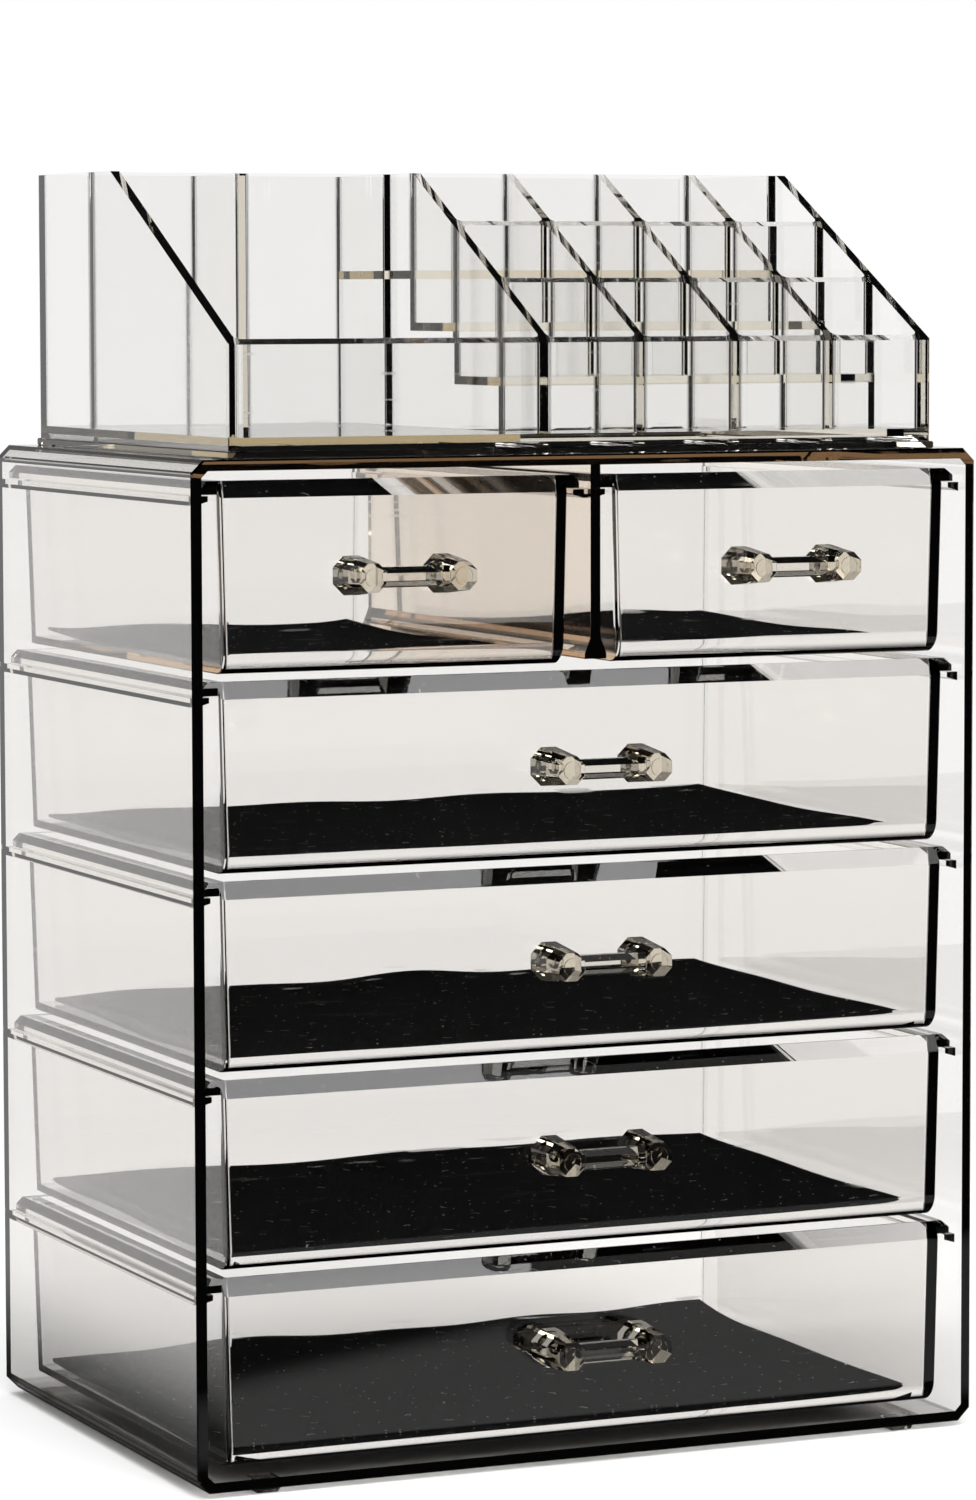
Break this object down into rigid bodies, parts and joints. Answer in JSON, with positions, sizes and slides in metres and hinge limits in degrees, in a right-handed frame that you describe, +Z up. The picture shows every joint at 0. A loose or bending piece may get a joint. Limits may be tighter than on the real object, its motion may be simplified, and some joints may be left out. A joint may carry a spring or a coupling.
{
  "type": "acrylic makeup organizer drawers",
  "caption": "Clear smoke-tinted plastic makeup organizer: open-fronted case with sliding velvet-lined drawers, bar handles and a lift-off stepped lipstick tray on top.",
  "frame": {"origin": "centre of the overall footprint, handles included, on the surface that the feet stand on", "axes": "+Z up, +X to the right of a viewer who faces the drawers, drawers open towards -Y"},
  "size_m": [0.238, 0.1736, 0.3601],
  "materials": {
    "smoke_plastic": "clear, lightly smoke-tinted moulded polystyrene, polished",
    "foot_plastic": "clear bumper pad",
    "black_velvet": "black velvet"
  },
  "bodies": {
    "case": {"case_shell": "smoke_plastic", "centre_divider": "smoke_plastic", "foot_front_left": "foot_plastic", "foot_front_right": "foot_plastic", "foot_back_left": "foot_plastic", "foot_back_right": "foot_plastic"},
    "drawer_box_small_left": {"drawer_small_left": "smoke_plastic", "handle_small_left": "smoke_plastic", "liner_small_left": "black_velvet"},
    "drawer_box_small_right": {"drawer_small_right": "smoke_plastic", "handle_small_right": "smoke_plastic", "liner_small_right": "black_velvet"},
    "drawer_box_wide_1": {"drawer_wide_1": "smoke_plastic", "handle_wide_1": "smoke_plastic", "liner_wide_1": "black_velvet"},
    "drawer_box_wide_2": {"drawer_wide_2": "smoke_plastic", "handle_wide_2": "smoke_plastic", "liner_wide_2": "black_velvet"},
    "drawer_box_wide_3": {"drawer_wide_3": "smoke_plastic", "handle_wide_3": "smoke_plastic", "liner_wide_3": "black_velvet"},
    "drawer_box_wide_4": {"drawer_wide_4": "smoke_plastic", "handle_wide_4": "smoke_plastic", "liner_wide_4": "black_velvet"},
    "tray": {"cosmetic_tray": "smoke_plastic"}
  },
  "joints": [
    {"name": "slide_small_left", "type": "slide", "parent": "case", "child": "drawer_box_small_left", "axis": [0, -1, 0], "range_m": [0, 0.12]},
    {"name": "slide_small_right", "type": "slide", "parent": "case", "child": "drawer_box_small_right", "axis": [0, -1, 0], "range_m": [0, 0.12]},
    {"name": "slide_wide_1", "type": "slide", "parent": "case", "child": "drawer_box_wide_1", "axis": [0, -1, 0], "range_m": [0, 0.12]},
    {"name": "slide_wide_2", "type": "slide", "parent": "case", "child": "drawer_box_wide_2", "axis": [0, -1, 0], "range_m": [0, 0.12]},
    {"name": "slide_wide_3", "type": "slide", "parent": "case", "child": "drawer_box_wide_3", "axis": [0, -1, 0], "range_m": [0, 0.12]},
    {"name": "slide_wide_4", "type": "slide", "parent": "case", "child": "drawer_box_wide_4", "axis": [0, -1, 0], "range_m": [0, 0.12]},
    {"name": "tray_lift", "type": "slide", "parent": "case", "child": "tray", "axis": [0, 0, 1], "range_m": [0, 0.05]}
  ]
}
